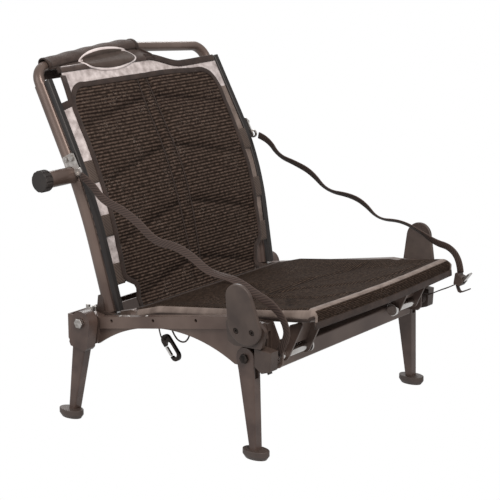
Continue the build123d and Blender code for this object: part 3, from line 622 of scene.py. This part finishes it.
def pin_loops():
    """Webbing sewn round each front pin, with the right one's loose tail."""
    pin_y, pin_z, coil = -218, 178, 9.4
    for side in (RIGHT, LEFT):
        word = "right" if side == RIGHT else "left"
        start, sweep = (200, 330) if side == RIGHT else (110, 340)
        ring, outs = [], []
        for k in range(29):
            angle = math.radians(start + sweep * k / 28)
            direction = Vector((0, math.cos(angle), math.sin(angle)))
            ring.append(at(side * 236.5, pin_y, pin_z) + direction * coil / 1000)
            outs.append(direction)
        tail = ([(-211, 167), (-207, 160), (-207, 153), (-209.5, 148)] if side == RIGHT
                else [(-240, 190), (-262, 201.5), (-280, 210), (-296, 219)])
        tail = [at(side * 236.5, y, z) for y, z in tail]
        if side == LEFT:
            first = Vector((0, 0.47, -0.88))
            ring, outs = ring + tail, outs + [-first] * len(tail)
        else:
            ring, outs = ring + tail, outs + [Vector((0, 0.86, 0.3))] * len(tail)
        piece = band("webbing_pin_loop_" + word, even(ring, 0.004), refit(ring, outs, 0.004), 0.0125, 0.0021,
                     STRAP, "base")
        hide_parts("pin_loop_" + word)


def refit(points, outs, step):
    """Directions for the points that even() gives."""
    found = [outs[0]]
    for (a, b), (p, q) in zip(zip(points, points[1:]), zip(outs, outs[1:])):
        n = max(1, round((b - a).length / step))
        found += [p.lerp(q, k / n).normalized() for k in range(1, n + 1)]
    return found


def strap_tail():
    """The left strap's loose end, folded back below the buckle."""
    route = ((-296, 217), (-298, 211), (-301, 205), (-305, 204), (-312, 207), (-322, 212))
    path = [at(240, y, z) for y, z in route]
    outs = [Vector((0, 0.9, -0.4)), Vector((0, 0.9, -0.4)), Vector((0, 0.4, -0.9)), Vector((0, -0.2, -1)),
            Vector((0, -0.5, -0.85)), Vector((0, -0.5, -0.85))]
    piece = band("webbing_tail_left", even(path, 0.003), refit(path, outs, 0.003), 0.011, 0.0022, STRAP,
                 "base")
    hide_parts("strap_tail_left")


# ---------------------------------------------------------------- back sling
BACK_EDGE = ((232, 223.0), (400, 240.0), (612, 235.0))     # z and half-width of the sling
PANEL_TOP = 590.0
SPINE_X = 13.0
FLAP_X = (-207.0, 34.0)     # ends of the sleeve on the bow
CHEVRONS = ((552, 523), (464, 424), (360, 317), (253, 208))   # z at the spine and at the panel's edge


def back_profile():
    """(y, z) of the sling's front face, up the CAD sling and on over the bow, in millimetres."""
    node = frame["nodes"]["back_mesh"]
    low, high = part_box("back_mesh")
    found = []
    steps = 48
    for k in range(steps + 1):
        z = low[2] + 0.003 + (high[2] - low[2] - 0.008) * k / steps
        hit, place, _, _ = node.ray_cast(Vector((RECLINE.x, -1.0, z)), Vector((0, 1, 0)))
        if hit:
            found.append(((place.y - RECLINE.y) * 1000 + RECLINE_Y, place.z * 1000))
    return found


PROFILE = back_profile()
(low_y, low_z), (next_y, next_z) = PROFILE[:2]
PROFILE.insert(0, (low_y - (low_z - 196) * (next_y - low_y) / (next_z - low_z), 196.0))
TOP_Y, TOP_Z = PROFILE[-1]
PROFILE += [(TOP_Y + 9, TOP_Z + 17), (TOP_Y + 19, TOP_Z + 33)]


def back_point(x, z, out=0.0):
    """A point on the sling's front face, pushed forward by out millimetres, and its normal."""
    for (y0, z0), (y1, z1) in zip(PROFILE, PROFILE[1:]):
        if z <= z1 or (y1, z1) == PROFILE[-1]:
            t = (z - z0) / (z1 - z0)
            y = y0 + (y1 - y0) * t
            normal = Vector((0, -(z1 - z0), y1 - y0)).normalized()
            return Vector((x, y, z)) + normal * out, normal


def back_half_width(z):
    for (z0, w0), (z1, w1) in zip(BACK_EDGE, BACK_EDGE[1:]):
        if z <= z1 or z1 == BACK_EDGE[-1][0]:
            return w0 + (w1 - w0) * (z - z0) / (z1 - z0)


def back_seams():
    """The spine's two lines and the chevrons that run down and out from them."""
    lines = []
    for side in (-1, 1):
        lines.append([(side * SPINE_X, 588), (side * (SPINE_X + 5), 400), (side * SPINE_X, 212)])
        for inner, outer in CHEVRONS:
            lines.append([(side * (SPINE_X + 3), inner), (side * 100, (inner + outer) / 2 + 4),
                          (side * 202, outer)])
    return lines


BACK_SEAMS = back_seams()
PANEL_EDGE_X = 211.0
PANEL_CORNER = 44.0


def panel_top(x):
    """The dark panel's top line, which falls towards the sitter's left."""
    return PANEL_TOP - 7 * smoothstep(60, 210, x)


def panel_edge(z):
    """Half-width of the dark panel, which keeps clear of the notches low down."""
    return PANEL_EDGE_X + (back_half_width(z) - 238) * 0.4 - 26 * (1 - smoothstep(236, 258, z))


def in_panel(x, z):
    edge = panel_edge(z)
    dx, dz = abs(x) - (edge - PANEL_CORNER), z - (panel_top(x) - PANEL_CORNER)
    if dx > 0 and dz > 0:
        return math.hypot(dx, dz) < PANEL_CORNER
    return abs(x) < edge and z < panel_top(x)


def back_relief(x, z):
    """Forward swell of the sling: pillows between seams, tucked in at the seams and edges."""
    edge = back_half_width(z)
    tuck = seam_depth(x, z, BACK_SEAMS, 9.0, 0.35)
    fringe = smoothstep(0, 40, edge - abs(x)) * smoothstep(0, 30, TOP_Z - z)
    waves = 0.5 * math.sin(x / 23 + z / 31) + 0.35 * math.sin(x / 11 - z / 17)
    return fringe * (4.2 - 5.2 * tuck + waves)


def sling_top(x):
    """Height of the light cloth's upper edge at each x: holes at both ends, the sleeve between."""
    if x < -200:
        return 564 + 4 * smoothstep(-240, -205, x) + 58 * smoothstep(-214, -200, x)
    if x < FLAP_X[1]:
        return 626
    return 606 + 20 * (1 - smoothstep(FLAP_X[1], 128, x)) + 1.5 * smoothstep(150, 235, x)


def sling_low(x):
    """Height of the sling's lower edge: a tongue between the seat's hinges, cut up at both corners."""
    return 196 + 55 * smoothstep(182, 193, abs(x))


def back_sling():
    """One sheet: dark rib mesh in the middle, light coated border round it."""
    columns, rows = 141, 104
    points, cuts, spots, painted_crease_shades = [], [], [], []
    for j in range(rows):
        v = j / (rows - 1)
        for i in range(columns):
            u = 2 * i / (columns - 1) - 1
            x_guess = u * 236
            z = sling_low(x_guess) + (sling_top(x_guess) - sling_low(x_guess)) * v
            x = u * back_half_width(z)
            place, _ = back_point(x, z, back_relief(x, z))
            points.append(at(*place))
            cuts.append((x / 1000, z * 1.08 / 1000))
            spots.append((x, z))
            # painted shade weight, strongest along the back's seams
            painted_crease_shades.append(0.75 * seam_depth(x, z, BACK_SEAMS, 3.2, 0.45))
    faces = grid_faces(columns, rows)
    cloths = [BORDER, BACK_MESH, HEM_AND_SHADE]
    piece = mesh_piece("sling_back", points, faces, cuts, cloths, "backrest", painted_crease_shades)
    for polygon in piece.data.polygons:
        x = sum(spots[v][0] for v in polygon.vertices) / 4
        z = sum(spots[v][1] for v in polygon.vertices) / 4
        # painted shade: below 548 mm the far side's border takes the darker hem cloth instead of the light
        # border cloth, standing in for the shade on that side
        polygon.material_index = 1 if in_panel(x, z) else 2 if x > 0 and z < 548 else 0
    modify(piece, "SOLIDIFY", thickness=0.0016, offset=-1.0)
    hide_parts("back_mesh")
    return piece


def on_back(path, lift):
    """Points and normals on the sling for (x, z) pairs."""
    places, outs = [], []
    for x, z in path:
        place, normal = back_point(x, z, back_relief(x, z) + lift)
        places.append(at(*place))
        outs.append(normal)
    return places, outs


def panel_outline():
    """The dark panel's edge from its lower right corner, over the top, to its lower left."""
    path = []
    for side in (-1, 1):
        half = []
        for k in range(40):
            z = PROFILE[0][1] + 1 + (panel_top(side * 170) - PANEL_CORNER - PROFILE[0][1]) * k / 39
            half.append((side * panel_edge(z), z))
        edge, base = half[-1]
        centre = (edge - side * PANEL_CORNER, base)
        for k in range(1, 13):
            angle = math.pi / 2 * k / 12
            half.append((centre[0] + side * PANEL_CORNER * math.cos(angle),
                         centre[1] + PANEL_CORNER * math.sin(angle)))
        path.append(half)
    right, left = path
    top = []
    x0, x1 = right[-1][0], left[-1][0]
    for k in range(1, 40):
        x = x0 + (x1 - x0) * k / 40
        top.append((x, panel_top(x)))
    return right + top + left[::-1]


def back_trim():
    """Binding round the panel and along the sling's holes, the spine tapes and the border patches."""
    places, outs = on_back(panel_outline(), 0.8)
    band("binding_panel", places, outs, 0.0105, 0.003, BINDING, "backrest")
    top_line = [(x, sling_top(x) - 4.5) for x in range(-236, 236, 4) if x < -202 or x > FLAP_X[1] - 4]
    near, far = [p for p in top_line if p[0] < -202], [p for p in top_line if p[0] > 0]
    for word, chosen in (("near", near), ("far", far)):
        places, outs = on_back(chosen, 0.9)
        band("binding_top_" + word, places, outs, 0.0135, 0.0032, BINDING, "backrest")
    for side in (-1, 1):
        word = "right" if side == -1 else "left"
        line = [(side * (SPINE_X + 5 * math.sin(math.pi * k / 60)), 586 - (586 - 240) * k / 60)
                for k in range(61)]
        places, outs = on_back(line, 0.2)
        band("spine_seam_" + word, places, outs, 0.0026, 0.0016, BINDING, "backrest")
    for z0 in (265.0, 352.0, 446.0):
        for side in (-1, 1):
            word = f"{'right' if side == -1 else 'left'}_{int(z0)}"
            middle = side * (PANEL_EDGE_X + back_half_width(z0)) / 2 + side * 1
            line = [(middle, z0 - 19 + 38 * k / 8) for k in range(9)]
            places, outs = on_back(line, 1.1)
            band("border_patch_" + word, places, outs, 0.027, 0.002, BAND, "backrest")


def tension_webbing():
    """Three bands behind the sling, each with a sliding buckle near the sitter's left."""
    for z0, half in ((265.0, 217.0), (352.0, 225.0), (446.0, 229.0)):
        line, outs = [], []
        for k in range(49):
            x = -half + 2 * half * k / 48
            place, normal = back_point(x, z0, -6.4 - 0.8 * math.sin(math.pi * k / 48))
            line.append(at(*place))
            outs.append(-normal)
        piece = band(f"tension_band_{int(z0)}", line, outs, 0.038, 0.002, BAND, "backrest")
        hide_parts("tension_bands")
        slide_buckle(f"band_buckle_{int(z0)}", 150, z0)


def slide_buckle(name, x, z):
    """A three-bar slide: a bevelled plate with two slots, lying on the band's back."""
    place, normal = back_point(x, z, -9.0)
    bpy.ops.object.select_all(action="DESELECT")
    bpy.ops.mesh.primitive_cube_add(size=1, location=(0, 0, 0))
    piece = bpy.context.object
    piece.name = name
    bpy.ops.object.mode_set(mode="EDIT")
    bpy.ops.transform.resize(value=(0.026, 0.046, 0.0036))
    bpy.ops.mesh.select_mode(type="FACE")
    bpy.ops.mesh.subdivide(number_cuts=2)
    bpy.ops.object.mode_set(mode="OBJECT")
    modify(piece, "BEVEL", width=0.0009, segments=2, limit_method="ANGLE")
    for offset in (-0.0055, 0.0055):
        bpy.ops.object.select_all(action="DESELECT")
        bpy.ops.mesh.primitive_cube_add(size=1, location=(offset, 0, 0))
        cutter = bpy.context.object
        cutter.scale = (0.0045, 0.0385, 0.02)
        modify(piece, "BOOLEAN", object=cutter, operation="DIFFERENCE", solver="EXACT")
        bpy.data.objects.remove(cutter)
    across = Vector((1, 0, 0))
    back = -normal
    up = back.cross(across)
    turn = Matrix((across, up, back)).transposed().to_4x4()
    piece.data.transform(Matrix.Translation(at(*place)) @ turn)
    piece.data.materials.append(NYLON)
    smooth_edges(piece)
    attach(piece, "backrest")


def track_painted_shade():
    """Painted shade: darken the sail track along the front of both uprights to near-black, standing in for
    the shadow in it.
    """
    for side in ("left", "right"):
        mesh = frame["nodes"]["back_upright_" + side].data
        mesh.materials.append(TRACK_SHADE)
        for polygon in mesh.polygons:
            z = polygon.center.z * 1000
            place, normal = back_point(0, z)
            y = (polygon.center.y - RECLINE.y) * 1000 + RECLINE_Y
            # faces at the front of the upright take the painted shade
            if (y - place.y) * -normal.y < 9.5:
                polygon.material_index = 1


def smooth_edges(piece, angle=35):
    only(piece)
    bpy.ops.object.shade_smooth_by_angle(angle=math.radians(angle))


def bow_centre(x):
    """Middle of the bow tube at x: a shallow crown with the ends lower and further forward."""
    t = min(1.0, abs(x) / 240)
    return Vector((x, 322 - 7 * t, 642 - 18 * t * (0.35 + 0.65 * t)))


def sleeve_profile(x):
    """(y, z) points of the sleeve, from its sewn front edge over the bow and down behind."""
    middle = bow_centre(x)
    front_y = TOP_Y + 7.5
    points = [(front_y - 1.2, 616.0), (front_y + 3.4, 624.0)]
    for degrees in (212, 190, 165, 140, 115, 90, 65, 40, 15, -12):
        angle = math.radians(degrees)
        reach = 13.0 if degrees > 150 else 12.2
        points.append((middle.y + (reach + 2) * math.cos(angle), middle.z + reach * math.sin(angle)))
    points += [(middle.y + 10.5, 616.0), (middle.y + 5.0, 600.0)]
    return points


def bezier_rows(points, steps):
    """Smooth curve through (y, z) points, steps per span."""
    out = []
    last = len(points) - 1
    for k in range(last):
        p0, p1 = points[max(k - 1, 0)], points[k]
        p2, p3 = points[k + 1], points[min(k + 2, last)]
        for s in range(steps):
            t = s / steps
            out.append(tuple(0.5 * (2 * b + (c - a) * t + (2 * a - 5 * b + 4 * c - d) * t * t
                                    + (3 * b - a - 3 * c + d) * t ** 3)
                             for a, b, c, d in zip(p0, p1, p2, p3)))
    out.append(points[-1])
    return out


def sleeve_bounds(share):
    """X where the sleeve starts and ends, for a share of the way round from front to back."""
    waist = math.sin(math.pi * min(1.0, share / 0.9))
    return FLAP_X[0] - 1 - 6 * waist, FLAP_X[1] + 4 + 16 * (1 - smoothstep(0.0, 0.25, share)) - 8 * waist


def top_sleeve():
    """Packcloth sleeve over the bow, its front edge sewn to the light border."""
    columns = 61
    profile_rows = len(bezier_rows(sleeve_profile(0), 4))
    points, cuts = [], []
    for j in range(profile_rows):
        share = j / (profile_rows - 1)
        x0, x1 = sleeve_bounds(share)
        for i in range(columns):
            u = i / (columns - 1)
            x = x0 + (x1 - x0) * u
            y, z = bezier_rows(sleeve_profile(x), 4)[j]
            pinch = 1 - math.sin(math.pi * u)
            ripple = 0.8 * math.sin(u * 31 + j * 0.21) * math.sin(math.pi * share)
            points.append(at(x, y + ripple * 0.4, z + ripple * 0.7 + 0.8 * pinch * math.sin(math.pi * share)))
            cuts.append((x / 1000, j * 0.0035))
    piece = mesh_piece("sleeve_top", points, grid_faces(columns, profile_rows), cuts, [SLEEVE], "backrest")
    modify(piece, "SOLIDIFY", thickness=0.0014, offset=0.0)
    outward(piece)
    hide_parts("top_sleeve")
    for word, column in (("right", 0), ("left", columns - 1)):
        path = [points[j * columns + column] for j in range(profile_rows)]
        centre_x = path[0].x
        outs = []
        for j, place in enumerate(path):
            middle = at(*bow_centre((centre_x - RECLINE.x) * 1000))
            outs.append(Vector((0, place.y - middle.y, place.z - middle.z)).normalized())
        band("sleeve_binding_" + word, path, outs, 0.009, 0.0034, BINDING, "backrest")
    return piece


PATCH_AT = (-66.0, 628.0)   # x and z of the badge's middle
PATCH_HALF = (72.0, 20.0)


def front_of(pieces, x, z):
    """The frontmost cloth at x and z, as a place in the frame, in metres."""
    start = at(x, -900, z)
    hits = [piece.ray_cast(start, Vector((0, 1, 0))) for piece in pieces]
    return min((place for hit, place, _, _ in hits if hit), key=lambda place: place.y)


def badge(cloths):
    """A plain oval patch with a light rim, sewn over the seam between border and sleeve."""
    x0, z0 = PATCH_AT
    rings, spokes = 9, 72
    layers = (("badge_rim", 1.0, 0.0016, PATCH_RIM), ("badge_face", 0.93, 0.0026, PATCH_FACE))
    for name, size, lift, material in layers:
        points, cuts = [], []
        for j in range(rings + 1):
            for i in range(spokes):
                angle = 2 * math.pi * i / spokes
                x = x0 + (PATCH_HALF[0] - (1 - size) * 60) * max(j, 0.01) / rings * math.cos(angle)
                z = z0 + (PATCH_HALF[1] - (1 - size) * 60) * max(j, 0.01) / rings * math.sin(angle)
                points.append(front_of(cloths, x, z) + Vector((0, -lift, lift * 0.3)))
                cuts.append((x / 1000, z / 1000))
        for _ in range(3):
            points = relaxed(points, rings, spokes)
        faces = [(j * spokes + i, j * spokes + (i + 1) % spokes, (j + 1) * spokes + (i + 1) % spokes,
                  (j + 1) * spokes + i) for j in range(rings) for i in range(spokes)]
        faces.append(tuple(range(spokes))[::-1])
        piece = mesh_piece(name, points, faces, cuts, [material], "backrest")
        modify(piece, "SOLIDIFY", thickness=0.0012, offset=1.0)
        outward(piece)


def relaxed(points, rings, spokes):
    """Even out the patch's depth so that it bridges the steps in the cloth under it."""
    eased = [p.copy() for p in points]
    for j in range(1, rings):
        for i in range(spokes):
            k = j * spokes + i
            around = (points[k - spokes].y + points[k + spokes].y
                      + points[j * spokes + (i + 1) % spokes].y + points[j * spokes + i - 1].y) / 4
            eased[k].y = min(points[k].y, around)
    return eased


# ---------------------------------------------------------------- seat sling
SEAT_TUBE_X, SEAT_TUBE_R = 212.0, 10.0
SEAT_SEAMS = [
    [(-81, -60), (-109, -215), (-70, -290)], [(-60, -90), (-19, -129), (37, -241), (70, -285)],
    [(-60, -80), (60, -90), (190, -130)], [(-90, -100), (-150, -60), (-205, 10)],
    [(-100, -150), (-165, -200), (-200, -268)], [(0, 80), (-10, 0), (-60, -80)],
    [(40, -230), (120, -255), (190, -262)],
]


def seat_line(y):
    """Height of the side tubes' middles at y."""
    if y > 45:
        return 190 + (210 - 190) * (112 - y) / (112 - 45)
    return 210 + 44 * (45 - y) / 325


def seat_front(x):
    """Y of the front tube's middle at x."""
    return -280 - 10 * (1 - (abs(x) / SEAT_TUBE_X) ** 1.5)


def seat_sling():
    """Sling mesh over the side tubes and down over the front tube, with a light front hem."""
    columns_u = []
    for k in range(97):
        columns_u.append(-1 + 2 * k / 96)
    rows = 112
    points, cuts, spots, painted_crease_shades = [], [], [], []
    edges = [(-1, a) for a in (105, 80, 55, 30, 10)]
    across = edges + [(0, u) for u in columns_u] + [(1, a) for a in (10, 30, 55, 80, 105)]
    for j in range(rows):
        v = j / (rows - 1)
        for kind, value in across:
            if kind:
                angle = math.radians(value)
                x = kind * (SEAT_TUBE_X + (SEAT_TUBE_R + 1.4) * math.sin(angle))
                lift = (SEAT_TUBE_R + 1.4) * math.cos(angle)
            else:
                x, lift = value * SEAT_TUBE_X, SEAT_TUBE_R + 1.4
            y, z = seat_row(min(abs(x), SEAT_TUBE_X), v, lift)
            if not kind:
                inside = smoothstep(0, 60, SEAT_TUBE_X - abs(x))
                open_cloth = smoothstep(0.02, 0.12, v) * (1 - smoothstep(0.80, 0.88, v))
                tuck = seam_depth(x, y, SEAT_SEAMS, 9.0, 0.5)
                belly = -7.0 * inside * open_cloth * math.sin(math.pi * min(1, v / 0.86))
                z += belly - 4.5 * tuck * inside * open_cloth
                z += 0.7 * inside * open_cloth * math.sin(x / 19 + y / 37)
            points.append(at(x, y, z))
            cuts.append((x / 1000, v * 0.45))
            spots.append((x, v))
            # painted shade weight along the seat's seams; none on the wrapped edges
            painted_crease_shades.append(0.0 if kind else 0.7 * seam_depth(x, y, SEAT_SEAMS, 3.5, 0.5))
    columns = len(across)
    faces = grid_faces(columns, rows)
    piece = mesh_piece("sling_seat", points, faces, cuts, [SEAT_MESH, HEM_AND_SHADE], "seat", painted_crease_shades)
    for polygon in piece.data.polygons:
        share = sum(spots[v][1] for v in polygon.vertices) / 4
        far = sum(abs(spots[v][0]) for v in polygon.vertices) / 4
        polygon.material_index = 1 if 0.845 < share < 0.893 or far > 219.5 else 0
    modify(piece, "SOLIDIFY", thickness=0.0016, offset=0.0)
    outward(piece)
    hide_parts("seat_mesh")
    hem = [points[j * columns + c] for j, c in [(rows - 1, c) for c in range(columns)]]
    outs = [Vector((0, -1, 0.1))] * len(hem)
    band("seat_front_hem", hem, outs, 0.013, 0.0035, BINDING, "seat")
    for word, c in (("right", 0), ("left", columns - 1)):
        path = [points[j * columns + c] for j in range(0, rows - 9)]
        side = RIGHT if word == "right" else LEFT
        band("seat_side_piping_" + word, path, [Vector((side, 0, -0.2))] * len(path), 0.006, 0.0035, BINDING,
             "seat")
    rear = [points[c] + Vector((0, 0.001, -0.001)) for c in range(5, columns - 5)]
    band("seat_rear_hem", rear, [Vector((0, 0.35, 1))] * len(rear), 0.016, 0.006, BINDING, "seat")


def seat_row(x, v, lift):
    """(y, z) on the sling for a share v of the way from rear edge to front hem."""
    front = seat_front(x)
    if v < 0.86:
        y = 98 + (front - 98) * v / 0.86
        return y, seat_line(y) + lift + (3.0 if y < -200 else 0) * smoothstep(-200, front, y) * (lift / 11.4)
    angle = math.radians(90 + 100 * min(1.0, (v - 0.86) / 0.09))
    middle = seat_line(front) + 3
    reach = 11.4
    drop = 12.0 * max(0.0, (v - 0.95) / 0.05)
    low = lift - 11.4
    height = middle + reach * math.sin(angle) - drop + low * (1 - smoothstep(0.86, 0.95, v))
    return front + reach * math.cos(angle), height


# ---------------------------------------------------------------- small fittings
def rivet(name, place, out, radius, body):
    """A domed rivet with a flange, standing on a face."""
    bpy.ops.object.select_all(action="DESELECT")
    bpy.ops.mesh.primitive_cylinder_add(vertices=28, radius=radius, depth=radius * 0.35, location=(0, 0, 0))
    piece = bpy.context.object
    piece.name = name
    bpy.ops.object.mode_set(mode="EDIT")
    bpy.ops.mesh.select_all(action="DESELECT")
    bpy.ops.object.mode_set(mode="OBJECT")
    for polygon in piece.data.polygons:
        polygon.select = polygon.normal.z > 0.9
    bpy.ops.object.mode_set(mode="EDIT")
    bpy.ops.mesh.select_mode(type="FACE")
    bpy.ops.mesh.inset(thickness=radius * 0.28)
    bpy.ops.mesh.extrude_region_move(TRANSFORM_OT_translate={"value": (0, 0, radius * 0.3)})
    bpy.ops.transform.resize(value=(0.8, 0.8, 1))
    bpy.ops.object.mode_set(mode="OBJECT")
    modify(piece, "BEVEL", width=radius * 0.12, segments=2, limit_method="ANGLE")
    turn = Vector(out).to_track_quat("Z", "Y").to_matrix().to_4x4()
    piece.data.transform(Matrix.Translation(place) @ turn)
    piece.data.materials.append(ZINC)
    smooth_edges(piece)
    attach(piece, body)


def rail_top(y):
    return 192 + 0.175 * (150 - y)


def rivets():
    """Bright rivets along the top of each rail."""
    for side in (RIGHT, LEFT):
        word = "right" if side == RIGHT else "left"
        for k, y in enumerate((108, 88, 46)):
            rivet(f"rail_rivet_{word}_{k}", at(side * 254, y, rail_top(y)), (0, 0.17, 0.98), 0.0036, "base")


studio()
straps()
thin_cords()
pin_loops()
strap_tail()
back = back_sling()
track_painted_shade()
back_trim()
tension_webbing()
sleeve = top_sleeve()
badge([back, sleeve])
seat_sling()
rivets()
